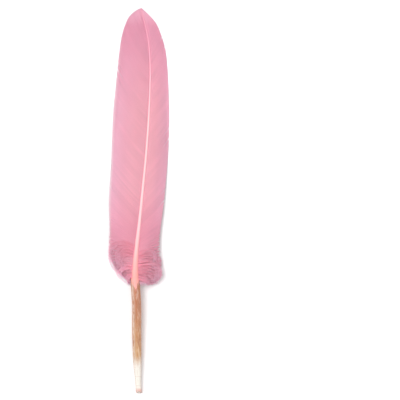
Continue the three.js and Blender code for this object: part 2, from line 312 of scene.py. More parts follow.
# ---- barbs of the vanes ----
def barb_plans(side, roots, kept):
    """Every barb in plan, at even shares of its length, and its length.

    Each runs from its root towards the margin, and ends on it or, where less of it is kept, short of it.
    """
    x, at = shaft_x(roots), roots.copy()
    out = np.zeros(len(roots))
    trail = [np.stack([x, at], axis=-1)]
    while (out < 1).any():
        lean = np.radians(blended(lean_at_root(roots), lean_at_margin(roots), out))
        next_x = x + side * MARCH_STEP * np.sin(lean)
        next_at = at + MARCH_STEP * np.cos(lean)
        next_out = out_share(side, next_x, next_at)
        short = np.clip((1 - out) / np.maximum(next_out - out, 1e-9), 0, 1)
        share = np.where(out >= 1, 0.0, np.where(next_out < 1, 1.0, short))
        x, at = blended(x, next_x, share), blended(at, next_at, share)
        out = np.where(out >= 1, out, np.minimum(next_out, 1))
        trail.append(np.stack([x, at], axis=-1))
    trail = np.stack(trail, axis=1)
    walked = np.cumsum(np.linalg.norm(np.diff(trail, axis=1, prepend=trail[:, :1]), axis=-1), axis=1)
    plans = []
    lengths = walked[:, -1] * kept
    for path, distance, length in zip(trail, walked, lengths):
        stops = np.linspace(0, length, BARB_STATIONS)
        plans.append(np.stack([np.interp(stops, distance, path[:, i]) for i in (0, 1)], axis=-1))
    return np.stack(plans), lengths


def drawn_together(plans, roots, looseness, rng):
    """Neighbouring barbs drawn a little towards each other near the margin, now and then in a split."""
    share = np.linspace(0, 1, BARB_STATIONS)
    clumped = plans.copy()
    start = 0
    while start < len(plans):
        end = min(start + int(rng.integers(5, 18)), len(plans))
        may_split = SPLITS_FROM < roots[start] < SPLITS_TO
        splits = may_split and rng.random() < SPLIT_CHANCE
        strength = SPLIT_PULL if splits else rng.uniform(0.0, 0.35)
        pull = looseness * strength * smooth(0.6, 1.0, share)
        middle = plans[(start + end) // 2]
        clumped[start:end] = blended(plans[start:end], middle[None], pull[None, :, None])
        start = end
    return clumped


def drifting(count, rng):
    """A number from 0 to 1 for each barb, that mostly changes slowly from one to the next."""
    slow = np.convolve(rng.random(count + 10), np.ones(11) / 11, "valid")
    return np.clip(0.5 + 1.9 * (slow - 0.5) + 0.35 * (rng.random(count) - 0.5), 0, 1)


def barbules(rami, reach, rng):
    """Soft barbules down both sides of each ramus, and for each its barb and its row.

    rami is an array of barb, station and xyz, and reach the longest length for each barb and row.
    """
    count, rows = reach.shape
    place = np.linspace(0.04, 1, rows) * (rami.shape[1] - 1)
    low = np.minimum(place.astype(int), rami.shape[1] - 2)
    base = blended(rami[:, low], rami[:, low + 1], (place - low)[None, :, None])
    tangent = unit(rami[:, low + 1] - rami[:, low])
    upright = np.array([0.0, 0.0, 1.0])
    sideways = unit(np.cross(upright, tangent))
    above = np.cross(tangent, sideways)
    barb, row = np.meshgrid(np.arange(count), np.arange(rows), indexing="ij")
    dressed = reach > 0.08
    steps = np.linspace(0, 1, 3)[:, None]
    hairs, owners = [], []
    for turn in (-1, 1):
        opening = np.radians(rng.normal(50, 9, (count, rows, 1)))
        rise = np.radians(rng.normal(4, 15, (count, rows, 1)))
        spread = turn * np.cos(rise) * sideways + np.sin(rise) * above
        aim = np.cos(opening) * tangent + np.sin(opening) * spread
        bend = 0.35 * tangent - 0.1 * upright
        length = reach * rng.uniform(0.65, 1.0, (count, rows))
        hair = steps * aim[:, :, None, :] + steps**2 * bend[:, :, None, :]
        hair = base[:, :, None, :] + length[:, :, None, None] * hair
        hairs.append(hair[dressed])
        owners.append(np.stack([barb[dressed], row[dressed]], axis=-1))
    hairs = np.concatenate(hairs)
    hairs[..., 2] = np.maximum(hairs[..., 2], FLOOR_GAP)
    ups = np.zeros_like(hairs)
    ups[..., 2] = 1
    section = np.array([(-1, -0.5), (1, -0.5), (0, 1)])
    width = np.array([0.02, 0.017, 0.006]) * np.ones((len(hairs), 1))
    points, faces = swept(hairs, ups, section, width, width)
    return points, faces, np.concatenate(owners), len(steps) * len(section)


def vane_barbs(side, sizes):
    """Every barb of one vane, and the fringe of barbules on the loose ones near the foot."""
    rng = np.random.default_rng(11 + side)
    spacing = sizes.barb_spacing / MM
    roots = [FIRST_BARB]
    while roots[-1] + spacing < LAST_BARB:
        roots.append(roots[-1] + spacing * blended(0.55, 1, smooth(50, 66, roots[-1])))
    roots = np.array(roots) + rng.uniform(-0.04, 0.04, len(roots))
    share = np.linspace(0, 1, BARB_STATIONS)[None, :]
    loose = 1 - smooth(47, 60, roots)[:, None]
    kept = 1 - smooth(0.3, 0.8, loose[:, 0]) * rng.uniform(0, 0.2, len(roots))
    plans, lengths = barb_plans(side, roots, kept)
    plans = drawn_together(plans, roots, sizes.looseness, rng)

    direction = unit(np.gradient(plans, axis=1))
    to_next = np.gradient(plans, axis=0)
    gap = np.abs(direction[..., 0] * to_next[..., 1] - direction[..., 1] * to_next[..., 0])
    wander = np.sin(share * 5 + rng.uniform(0, 6.3, (len(roots), 1))) * 0.4 * loose * share
    plans = plans + wander[..., None] * np.stack([-direction[..., 1], direction[..., 0]], axis=-1)

    x, at = plans[..., 0], plans[..., 1]
    wave = 0.015 * np.sin(np.arange(len(roots)) * 0.31) + rng.normal(0, 0.004, len(roots))
    z = vane_height(side, x, at) + wave[:, None] * share
    z += loose * share**2 * rng.uniform(-0.12, 0.12, (len(roots), 1))
    centres = np.stack([x, at, np.maximum(z, STRAND_REST)], axis=-1)
    tangents = unit(np.gradient(centres, axis=1))
    normals = vane_normal(side, x, at)
    tilt = rng.normal(-0.07, 0.015, (len(roots), 1, 1)) * side
    normals = unit(normals + np.cross(normals, tangents) * tilt)

    tip = 1 - 0.8 * smooth(0.95, 1.0, share)
    web = blended(1, 0.5, loose * smooth(0.5, 0.95, share))
    widths = blended(0.68, 0.85, loose) * gap * tip * web
    heights = blended(1, 0.5, loose) * tip
    ridge = sizes.barb_ridge / MM
    section = np.array(
        [(-1, -0.01), (-0.2, -0.035), (0.2, -0.035), (1, -0.01), (0.24, 0.012), (0, ridge), (-0.24, 0.012)]
    )
    points, faces = swept(centres, normals, section, widths, heights)

    ring = len(section)
    chance = drifting(len(roots), rng)[:, None] * np.ones_like(widths)
    where = np.stack([at / LENGTH, share * np.ones_like(widths), chance], axis=-1)
    weave = np.zeros((*widths.shape, ring, 3))
    weave[..., 0] = (share * lengths[:, None])[..., None]
    weave[..., 1] = widths[..., None] * section[:, 0]
    barbs = (points, faces, {
        "where": np.repeat(where[:, :, None, :], ring, axis=2).reshape(-1, 3),
        "weave": weave.reshape(-1, 3),
    })

    downy = roots < FRINGE_ENDS
    rows = np.linspace(0, 1, FRINGE_ROWS)[None, :]
    reach = 0.75 * sizes.down_fuzz / MM * np.sqrt(loose[downy]) * smooth(0.2, 0.7, rows)
    points, faces, owners, repeats = barbules(centres[downy], reach, rng)
    stations = (owners[:, 1] / (FRINGE_ROWS - 1) * (BARB_STATIONS - 1)).astype(int)
    fringe_where = np.repeat(where[owners[:, 0], stations], repeats, axis=0)
    fringe = (points, faces, {"where": fringe_where, "weave": np.zeros_like(fringe_where)})
    return joined(barbs, fringe)


# ---- down at the foot ----
def kept_inside(side, x, at, edge, lowest):
    """Strands that would cross the outline of the foot bend to follow it.

    edge is the outermost share that a strand reaches, and lowest how far down it hangs.
    """
    above = np.minimum(at - lowest, 1)
    at = np.where(above < 1, lowest + np.exp(above - 1), at)
    out = np.maximum(out_share(side, x, at), 0.05)
    past = np.maximum(out - edge + DOWN_BUNCHING, 0)
    out = np.where(past > 0, edge - DOWN_BUNCHING * np.exp(-past / DOWN_BUNCHING), out)
    return shaft_x(at) + out * (margin_x[side](at) - shaft_x(at)), at


def down_barbs(side, sizes):
    """Locks of downy barbs that leave the foot sideways and curl back towards the quill.

    Some hang loose: each is shaped as if it lay higher, and then let down past the foot's outline.
    """
    rng = np.random.default_rng(31 + side)
    locks = sizes.down_locks
    count = locks * LOCK_BARBS
    share = np.linspace(0, 1, DOWN_STATIONS)[None, :]
    lock = np.repeat(np.arange(locks), LOCK_BARBS)
    lock_place = (np.arange(locks) + 0.5 + rng.uniform(-0.25, 0.25, locks)) / locks
    place = np.clip(lock_place[lock] + rng.uniform(-0.5, 0.5, count) / locks, 0, 1)
    roots = blended(LOWEST_LOCK, HIGHEST_LOCK[side], place)
    turn = rng.normal(0, 7, locks)[lock] + rng.normal(0, 5, count)
    more_curl = rng.normal(0, 22, locks)[lock] + rng.normal(0, 16, count)
    first = lock_first_lean[side](place) + turn
    last = lock_last_lean[side](place) + turn + more_curl
    length = lock_length[side](place) * rng.uniform(0.84, 1.1, locks)[lock]
    length = length * rng.uniform(0.7, 1.05, count)

    curl = smooth(LOCK_CURL_STARTS[side], 0.95, share)
    lean = np.radians(blended(first[:, None], last[:, None], curl))
    lean += 0.2 * np.sin(share * 8 + rng.uniform(0, 6.3, locks)[lock][:, None]) * share
    lean += 0.15 * np.sin(share * 13 + rng.uniform(0, 6.3, (count, 1))) * share
    stride = length[:, None] / (DOWN_STATIONS - 1) * np.where(share > 0, 1, 0)
    x = shaft_x(roots)[:, None] + side * np.cumsum(np.sin(lean) * stride, axis=1)
    at = roots[:, None] + np.cumsum(np.cos(lean) * stride, axis=1)
    plan = np.stack([x, at], axis=-1)
    spine = plan.reshape(locks, LOCK_BARBS, DOWN_STATIONS, 2).mean(axis=1)[lock]
    gathered = rng.uniform(0.05, 0.6, locks)[lock][:, None] * smooth(0.1, 1, share)
    plan = blended(plan, spine, gathered[..., None])
    stray_rng = np.random.default_rng(51 + side)
    loose = stray_rng.random((count, 1)) < LOOSE_CHANCE
    drop = np.where(loose, stray_rng.uniform(*LOOSE_DROP, (count, 1)), 0.0)
    edge = rng.uniform(0.98, 1.1, locks)[lock] + rng.normal(0, 0.04, count)
    lowest = DOWN_LOWEST + LOOSE_DROP_HELD * drop
    x, at = kept_inside(side, plan[..., 0], plan[..., 1] + drop, edge[:, None], lowest)
    at = at - drop

    layer = rng.permutation(np.linspace(-1, 1, locks))[lock][:, None] + rng.normal(0, 0.12, (count, 1))
    sheet = vane_height(side, x, at)
    over = sheet + 0.2 + 0.55 * layer * np.sin(np.pi * share) - 0.4 * smooth(0.6, 1, share)
    under = sheet - 0.25 + 1.1 * layer * share
    z = np.maximum(np.where(layer > 0, over, under), STRAND_REST)
    centres = np.stack([x, at, z], axis=-1)
    ups = np.zeros_like(centres)
    ups[..., 2] = 1
    section = np.array([(-1, 0), (0, -0.7), (1, 0), (0, 0.9)])
    width = blended(0.075, 0.02, share) * np.ones_like(x)
    points, faces = swept(centres, ups, section, width, width)
    chance = np.clip(rng.random(locks)[lock] + rng.normal(0, 0.12, count), 0, 1)
    every = np.ones_like(x)
    where = np.stack([layer * every, share * every, chance[:, None] * every], axis=-1)
    stem_where = np.repeat(where.reshape(-1, 3), len(section), axis=0)
    stems = (points, faces, {"where": stem_where})

    rows = np.linspace(0, 1, DOWN_ROWS)[None, :]
    fullness = 0.45 + 0.55 * np.sin(np.pi * rows**0.8)
    reach = sizes.down_fuzz / MM * rng.uniform(0.8, 1.0, (count, 1)) * fullness
    points, faces, owners, repeats = barbules(centres, reach, rng)
    stations = (owners[:, 1] / (DOWN_ROWS - 1) * (DOWN_STATIONS - 1)).astype(int)
    fuzz_where = np.repeat(where[owners[:, 0], stations], repeats, axis=0)
    return joined(stems, (points, faces, {"where": fuzz_where}))


# ---- quill and rachis ----
def shaft_ring(at, turns, wall=0.0, closing=1.0):
    """Points round the shaft: turn 0 is its right side and a quarter turn its top."""
    up = np.sin(turns)
    groove = groove_share(at) * np.clip(-up, 0, 1) ** 6
    half_width = (shaft_half_width(at) - wall) * closing
    half_depth = (shaft_half_depth(at) - wall) * closing
    x = shaft_x(at) + half_width * np.cos(turns)
    z = shaft_z(at) + half_depth * up * (1 - groove)
    return np.stack([x, at * np.ones_like(turns), z], axis=-1)


def pith_edge(turns):
    """Where the clear horn gives way to pith: it reaches down the top as a ragged point."""
    from_top = np.abs(np.angle(np.exp(1j * (turns - np.pi / 2))))
    ragged = 0.34 * np.sin(7 * turns + 1) + 0.24 * np.sin(13 * turns) + 0.16 * np.sin(17 * turns + 2)
    return PITH_STARTS - PITH_POINT * np.clip(1 - from_top / 1.1, 0, 1) ** 1.2 + ragged


def quill_and_rachis():
    """The shaft with its bore, and the material of every face: 0 for horn and 1 for rachis."""
    turns = np.linspace(0, 2 * np.pi, SHAFT_SIDES, endpoint=False)
    horn_at = np.concatenate([[0.12, 0.3], np.linspace(0.8, 36, 56), np.linspace(36.5, PITH_STARTS, 18)])
    rachis_at = np.linspace(PITH_STARTS + 0.4, 149.4, 240)
    bore_at = np.concatenate([[0.12, 0.4], np.linspace(1.2, HOLLOW_END, 40)])
    rings = []

    slant = CUT_SLANT * (1 + np.sin(turns)) / 2 + 0.04 * np.sin(turns * 5) + 0.04

    def add_ring(at, wall=0.0, closing=1.0):
        ring = shaft_ring(at, turns, wall, closing)
        ring[:, 1] += slant * np.clip(1 - at / 3, 0, 1)
        rings.append(ring)

    add_ring(149.6, wall=0.1)
    for at in np.concatenate([horn_at, rachis_at])[::-1]:
        near_edge = 1 - smooth(0, 7.2, abs(at - PITH_STARTS))
        add_ring(at + near_edge * (pith_edge(turns) - PITH_STARTS))
    outer_rings = len(rings)
    add_ring(0.0, 0.06)
    add_ring(0.0, QUILL_WALL - 0.08)
    for at in bore_at:
        add_ring(at, QUILL_WALL, blended(1, 0.25, smooth(HOLLOW_CLOSES, HOLLOW_END, at)))
    points = np.concatenate(rings)
    corner = np.arange(SHAFT_SIDES)
    beside = (corner + 1) % SHAFT_SIDES
    faces = []
    for start in range(0, len(points) - SHAFT_SIDES, SHAFT_SIDES):
        after = start + SHAFT_SIDES
        ring_faces = [start + corner, start + beside, after + beside, after + corner]
        faces += np.stack(ring_faces, axis=-1).tolist()
    materials = [1 if i < (len(rachis_at) + 1) * SHAFT_SIDES else 0 for i in range(len(faces))]
    faces.append(corner[::-1].tolist())
    faces.append((corner + len(points) - SHAFT_SIDES).tolist())
    inside = np.repeat(np.arange(len(rings)) > outer_rings + 1, SHAFT_SIDES).astype(float)
    turns = np.tile(turns, len(rings))
    marks = {
        "where": np.column_stack([points[:, 1], np.cos(turns), np.sin(turns)]),
        "pith": np.column_stack([points[:, 1] - pith_edge(turns), inside, inside]),
    }
    return points, faces, marks, materials + [1, 0]


def cap_places(spacing):
    return np.arange(FIRST_CAP, HOLLOW_CLOSES + 4, spacing)


def pulp_caps(spacing):
    """The dry membranes left inside the quill, each a shallow cup across the bore."""
    parts = []
    turns = np.linspace(0, 2 * np.pi, CAP_SIDES, endpoint=False)
    innermost = len(CAP_PROFILE) - 1
    for number, at in enumerate(cap_places(spacing)):
        closing = blended(1, 0.25, float(smooth(HOLLOW_CLOSES, HOLLOW_END, at)))
        rim = shaft_ring(at, turns, QUILL_WALL, 0.985 * closing)
        middle = rim.mean(axis=0)
        rings = []
        for share, forward in CAP_PROFILE:
            ring = blended(middle, rim, share)
            ring[:, 1] += forward + 0.12 * math.sin(number * 2.1) * np.sin(turns) * share
            rings.append(ring)
        for ring in rings[::-1]:
            back = ring.copy()
            back[:, 1] -= CAP_THICKNESS
            rings.append(back)
        corner = np.arange(CAP_SIDES)
        beside = (corner + 1) % CAP_SIDES
        faces = []
        for i in range(len(rings)):
            if i == innermost:
                continue
            a, b = i * CAP_SIDES, (i + 1) % len(rings) * CAP_SIDES
            faces += np.stack([a + corner, a + beside, b + beside, b + corner], axis=-1).tolist()
        faces.append((corner + innermost * CAP_SIDES).tolist())
        faces.append((corner + (innermost + 1) * CAP_SIDES)[::-1].tolist())
        points = np.concatenate(rings)
        parts.append((points, faces, {"where": points / LENGTH}))
    return joined(*parts)


# ---- shared shader effects ----
def new_group(name, inputs, outputs):
    group = bpy.data.node_groups.new(name, "ShaderNodeTree")
    for label, kind, default in inputs:
        socket = group.interface.new_socket(label, in_out="INPUT", socket_type=kind)
        socket.default_value = default
    for label, kind in outputs:
        group.interface.new_socket(label, in_out="OUTPUT", socket_type=kind)
    return group, group.nodes.new("NodeGroupInput"), group.nodes.new("NodeGroupOutput")


def math_node(nodes, links, operation, a, b=None):
    node = nodes.new("ShaderNodeMath")
    node.operation = operation
    for socket, value in zip(node.inputs, (a, b)):
        if value is None:
            continue
        if isinstance(value, bpy.types.NodeSocket):
            links.new(value, socket)
        else:
            socket.default_value = value
    return node.outputs[0]


def mix_node(nodes, links, factor, a, b):
    node = nodes.new("ShaderNodeMix")
    node.data_type = "RGBA"
    for socket, value in zip((node.inputs[0], node.inputs[6], node.inputs[7]), (factor, a, b)):
        if isinstance(value, bpy.types.NodeSocket):
            links.new(value, socket)
        else:
            socket.default_value = value
    return node.outputs[2]


def mask(strength):
    """A grey that stands for a share, in a ramp."""
    return (strength, strength, strength, 1)


def ramp_node(nodes, links, factor, *stops):
    """A colour ramp of (place, colour) stops."""
    node = nodes.new("ShaderNodeValToRGB")
    links.new(factor, node.inputs[0])
    elements = node.color_ramp.elements
    while len(elements) < len(stops):
        elements.new(0.5)
    for element, (place, colour) in zip(elements, stops):
        element.position = place
        element.color = colour
    return node.outputs[0]


def marks_node(nodes, links, name):
    """A mesh mark, and its three numbers apart."""
    mark = nodes.new("ShaderNodeAttribute")
    mark.attribute_name = name
    apart = nodes.new("ShaderNodeSeparateXYZ")
    links.new(mark.outputs["Vector"], apart.inputs[0])
    return mark.outputs["Vector"], apart.outputs


def dye_drift_group():
    """Dye that took a little unevenly: broad soft patches, and fine streaks along the barbs."""
    group, start, end = new_group(
        "Dye drift",
        [
            ("Colour", "NodeSocketColor", (1, 1, 1, 1)),
            ("Place", "NodeSocketVector", (0, 0, 0)),
            ("Patches", "NodeSocketFloat", 0.1),
            ("Chance", "NodeSocketFloat", 0.5),
            ("Streaks", "NodeSocketFloat", 0.1),
        ],
        [("Colour", "NodeSocketColor")],
    )
    nodes, links = group.nodes, group.links
    noise = nodes.new("ShaderNodeTexNoise")
    noise.inputs["Scale"].default_value = 1.0
    noise.inputs["Detail"].default_value = 3.0
    links.new(start.outputs["Place"], noise.inputs["Vector"])
    centred = math_node(nodes, links, "SUBTRACT", noise.outputs[0], 0.5)
    patches = math_node(nodes, links, "MULTIPLY", centred, start.outputs["Patches"])
    chance = math_node(nodes, links, "SUBTRACT", start.outputs["Chance"], 0.5)
    streaks = math_node(nodes, links, "MULTIPLY", chance, start.outputs["Streaks"])
    both = math_node(nodes, links, "ADD", patches, streaks)
    value = math_node(nodes, links, "ADD", both, 1.0)
    shade = nodes.new("ShaderNodeHueSaturation")
    links.new(start.outputs["Colour"], shade.inputs["Color"])
    links.new(value, shade.inputs["Value"])
    links.new(shade.outputs[0], end.inputs[0])
    return group


def barbule_group():
    """The rows of barbules that cross a barb, as a height and as a faint shade."""
    group, start, end = new_group(
        "Barbule rows",
        [
            ("Along", "NodeSocketFloat", 0.0),
            ("Across", "NodeSocketFloat", 0.0),
            ("Per mm", "NodeSocketFloat", BARBULES_PER_MM),
        ],
        [("Height", "NodeSocketFloat")],
    )
    nodes, links = group.nodes, group.links
    away = math_node(nodes, links, "ABSOLUTE", start.outputs["Across"])
    slanted = math_node(nodes, links, "SUBTRACT", start.outputs["Along"], away)
    turns = math_node(nodes, links, "MULTIPLY", slanted, start.outputs["Per mm"])
    angle = math_node(nodes, links, "MULTIPLY", turns, 2 * math.pi)
    wave = math_node(nodes, links, "SINE", angle)
    links.new(wave, end.inputs[0])
    return group


def grain_group():
    """Fine grain stretched along the feather, for horn, pith and membrane."""
    group, start, end = new_group(
        "Horn grain",
        [("Place", "NodeSocketVector", (0, 0, 0)), ("Scale", "NodeSocketFloat", 4.0)],
        [("Height", "NodeSocketFloat")],
    )
    nodes, links = group.nodes, group.links
    stretch = nodes.new("ShaderNodeMapping")
    stretch.inputs["Scale"].default_value = (0.12, 1.0, 1.0)
    links.new(start.outputs["Place"], stretch.inputs["Vector"])
    noise = nodes.new("ShaderNodeTexNoise")
    noise.inputs["Detail"].default_value = 5.0
    noise.inputs["Roughness"].default_value = 0.6
    links.new(stretch.outputs[0], noise.inputs["Vector"])
    links.new(start.outputs["Scale"], noise.inputs["Scale"])
    links.new(noise.outputs[0], end.inputs[0])
    return group


def shared(name):
    makers = {"Dye drift": dye_drift_group, "Barbule rows": barbule_group, "Horn grain": grain_group}
    return bpy.data.node_groups.get(name) or makers[name]()


def group_node(nodes, links, name, **inputs):
    node = nodes.new("ShaderNodeGroup")
    node.node_tree = shared(name)
    for label, value in inputs.items():
        socket = node.inputs[label.replace("_", " ")]
        if isinstance(value, bpy.types.NodeSocket):
            links.new(value, socket)
        else:
            socket.default_value = value
    return node.outputs[0]


# ---- materials ----
def new_material(name, roughness, **constants):
    material = bpy.data.materials.new(name)
    material.use_nodes = True
    nodes, links = material.node_tree.nodes, material.node_tree.links
    shader = nodes["Principled BSDF"]
    shader.inputs["Roughness"].default_value = roughness
    for label, value in constants.items():
        shader.inputs[label.replace("_", " ")].default_value = value
    return material, nodes, links, shader


def bump_into(nodes, links, shader, height, distance, strength):
    bump = nodes.new("ShaderNodeBump")
    bump.inputs["Distance"].default_value = distance * MM
    bump.inputs["Strength"].default_value = strength
    links.new(height, bump.inputs["Height"])
    links.new(bump.outputs[0], shader.inputs["Normal"])


def scaled_place(nodes, links, vector, scale):
    node = nodes.new("ShaderNodeVectorMath")
    node.operation = "MULTIPLY"
    links.new(vector, node.inputs[0])
    node.inputs[1].default_value = scale
    return node.outputs[0]


def barb_material(name, colours, margin, rim):
    material, nodes, links, shader = new_material(
        name, 0.6, Sheen_Weight=0.2, Sheen_Roughness=0.4, Specular_IOR_Level=0.35,
        Subsurface_Weight=0.25, Subsurface_Radius=DYE_DEPTH, Subsurface_Scale=0.3 * MM,
    )
    place, where = marks_node(nodes, links, "where")
    _, weave = marks_node(nodes, links, "weave")
    # The last stop, rim, is a painted highlight: a lighter line along the vane's outer edge for light
    # caught where the barb ends curl. The broad vane, towards the key lamp, gets the lighter rim colour,
    # the narrow vane only its margin colour.
    across = ramp_node(
        nodes, links, where[1],
        (0.0, colours.near_shaft), (0.3, colours.near_shaft), (0.6, colours.middle),
        (0.9, margin), (0.97, rim),
    )
    to_tip = ramp_node(nodes, links, where[0], (0.74, mask(0)), (0.93, mask(1)))
    deeper = mix_node(nodes, links, to_tip, across, colours.tip)
    to_end = ramp_node(nodes, links, where[0], (0.955, mask(0)), (0.985, mask(1)))
    with_tip = mix_node(nodes, links, to_end, deeper, margin)
    to_foot = ramp_node(nodes, links, where[0], (0.42, mask(0.6)), (0.52, mask(0)))
    with_foot = mix_node(nodes, links, to_foot, with_tip, colours.foot)
    drift_place = scaled_place(nodes, links, place, (9, 1.6, 2.5))
    colour = group_node(
        nodes, links, "Dye drift",
        Colour=with_foot, Place=drift_place, Patches=0.2, Chance=where[2], Streaks=0.06,
    )
    links.new(colour, shader.inputs["Base Color"])
    rows = group_node(
        nodes, links, "Barbule rows", Along=weave[0], Across=weave[1], Per_mm=BARBULES_PER_MM
    )
    bump_into(nodes, links, shader, rows, 0.012, 0.35)
    return material


def down_material(colours):
    material, nodes, links, shader = new_material(
        "Dyed down", 0.7, Specular_IOR_Level=0.2,
        Subsurface_Weight=0.3, Subsurface_Radius=DYE_DEPTH, Subsurface_Scale=0.03 * MM,
    )
    place, where = marks_node(nodes, links, "where")
    outward = ramp_node(
        nodes, links, where[1], (0.1, colours.down_root), (0.45, colours.down), (1.0, colours.down_tip)
    )
    # Painted shade: barbs in the lower layers take up to half of the under-shade colour, as if shaded by
    # the locks that lie over them.
    from_lowest = math_node(nodes, links, "ADD", where[0], 1.0)
    painted_under_shade = ramp_node(nodes, links, from_lowest, (0.1, mask(0.5)), (1.0, mask(0)))
    with_under_shade = mix_node(nodes, links, painted_under_shade, outward, colours.down_under_shade)
    drift_place = scaled_place(nodes, links, place, (3, 4, 9))
    colour = group_node(
        nodes, links, "Dye drift",
        Colour=with_under_shade, Place=drift_place, Patches=0.2, Chance=where[2], Streaks=0.2,
    )
    links.new(colour, shader.inputs["Base Color"])
    rows = group_node(nodes, links, "Barbule rows", Along=where[1], Across=where[0], Per_mm=60.0)
    bump_into(nodes, links, shader, rows, 0.005, 0.2)
    return material


def horn_material(colours, cap_spacing):
    material, nodes, links, shader = new_material(
        "Clear horn", 0.16, Transmission_Weight=0.2, IOR=1.54, Specular_IOR_Level=0.6
    )
    place, where = marks_node(nodes, links, "where")
    _, pith = marks_node(nodes, links, "pith")
    share = math_node(nodes, links, "DIVIDE", where[0], HORN_SPAN)
    along = ramp_node(
        nodes, links, share,
        (0.0, colours.cut_end), (0.03, colours.cut_end), (0.05, colours.horn_pale),
        (0.22, colours.horn_pale), (0.3, colours.horn), (0.7, colours.horn_deep),
    )
    grain = group_node(nodes, links, "Horn grain", Place=place, Scale=2.6)
    near_pith = math_node(nodes, links, "ADD", math_node(nodes, links, "DIVIDE", pith[0], 2.0), 0.5)
    mottled = math_node(nodes, links, "ADD", near_pith, grain)
    stained = ramp_node(nodes, links, mottled, (0.35, mask(0)), (1.0, mask(0.9)))
    pinked = mix_node(nodes, links, stained, along, colours.rachis_base)

    streaks = ramp_node(nodes, links, grain, (0.46, mask(0)), (0.62, mask(0.9)))
    clear = ramp_node(nodes, links, grain, (0.34, mask(0.24)), (0.5, mask(0)))
    to_end = ramp_node(nodes, links, share, (0.15, mask(0.05)), (0.4, mask(1)))
    strength = math_node(nodes, links, "MULTIPLY", streaks, to_end)
    walls = mix_node(nodes, links, pith[1], pinked, colours.horn_pale)
    # Painted light: a paler band down the quill's left side, towards the key lamp, stands for lamplight
    # showing through the clear horn wall.
    toward_lit_side = math_node(nodes, links, "ADD", math_node(nodes, links, "MULTIPLY", where[1], -0.6), grain)
    painted_side_light = ramp_node(
        nodes, links, toward_lit_side, (0.6, mask(0)), (0.86, mask(0.5)), (1.1, mask(0.1))
    )
    # the paler random grain patches and the painted light on the left side, whichever is stronger
    clear_and_painted_light = math_node(nodes, links, "MAXIMUM", clear, painted_side_light)
    with_painted_side_light = mix_node(nodes, links, clear_and_painted_light, walls, colours.horn_pale)
    streaked = mix_node(nodes, links, strength, with_painted_side_light, colours.horn_streak_and_edge_shade)

    uneven = math_node(nodes, links, "SUBTRACT", where[0], grain)
    from_cap = math_node(nodes, links, "SUBTRACT", uneven, FIRST_CAP - CAP_MARK_BEFORE)
    caps_along = math_node(nodes, links, "FRACT", math_node(nodes, links, "DIVIDE", from_cap, cap_spacing))
    ring = ramp_node(
        nodes, links, caps_along,
        (0.0, mask(0.1)), (0.03, mask(1)), (0.1, mask(0)), (0.98, mask(0)),
    )
    fading = ramp_node(nodes, links, share, (0.15, mask(0.3)), (0.2, mask(0.08)))
    ringed = mix_node(
        nodes, links, math_node(nodes, links, "MULTIPLY", ring, fading), streaked, colours.horn_streak_and_edge_shade
    )
    # Painted shade: both sides of the quill, as seen from above, darken to the streak colour, standing for
    # light's longer path through the horn wall at its edges.
    sideways = math_node(nodes, links, "ABSOLUTE", where[1])
    painted_edge_shade = ramp_node(nodes, links, sideways, (0.72, mask(0)), (0.97, mask(0.6)))
    with_edge_shade = mix_node(nodes, links, painted_edge_shade, ringed, colours.horn_streak_and_edge_shade)
    drift_place = scaled_place(nodes, links, place, (0.3, 1.2, 1.2))
    colour = group_node(
        nodes, links, "Dye drift",
        Colour=with_edge_shade, Place=drift_place, Patches=0.2, Chance=0.5, Streaks=0.0,
    )
    links.new(colour, shader.inputs["Base Color"])
    bump_into(nodes, links, shader, grain, 0.06, 0.35)
    return material


def rachis_material(colours):
    material, nodes, links, shader = new_material("Dyed rachis", 0.5, Specular_IOR_Level=0.25)
    place, where = marks_node(nodes, links, "where")
    share = math_node(nodes, links, "DIVIDE", where[0], LENGTH)
    along = ramp_node(
        nodes, links, share,
        (0.31, colours.rachis_base), (0.43, colours.rachis), (0.7, colours.rachis),
        (0.88, colours.rachis_tip), (0.94, colours.rachis_end),
    )
    grain = group_node(nodes, links, "Horn grain", Place=place, Scale=5.0)
    _, pith = marks_node(nodes, links, "pith")
    from_edge = math_node(nodes, links, "DIVIDE", pith[0], PITH_FADE)
    near_edge = ramp_node(nodes, links, from_edge, (0.0, mask(1)), (1.0, mask(0)))
    veins = ramp_node(nodes, links, grain, (0.46, mask(0)), (0.66, mask(0.55)))
    veined = mix_node(
        nodes, links, math_node(nodes, links, "MULTIPLY", near_edge, veins), along, colours.horn_streak_and_edge_shade
    )
    drift_place = scaled_place(nodes, links, place, (0.15, 1.0, 1.0))
    colour = group_node(
        nodes, links, "Dye drift",
        Colour=veined, Place=drift_place, Patches=0.15, Chance=0.5, Streaks=0.0,
    )
    links.new(colour, shader.inputs["Base Color"])
    bump_into(nodes, links, shader, grain, 0.03, 0.3)
    return material


def membrane_material(colours):
    material, nodes, links, shader = new_material("Dry pulp membrane", 0.7)
    place, _ = marks_node(nodes, links, "where")
    drift_place = scaled_place(nodes, links, place, (300, 300, 300))
    colour = group_node(
        nodes, links, "Dye drift",
        Colour=colours.membrane, Place=drift_place, Patches=0.4, Chance=0.5, Streaks=0.0,
    )
    links.new(colour, shader.inputs["Base Color"])
    return material


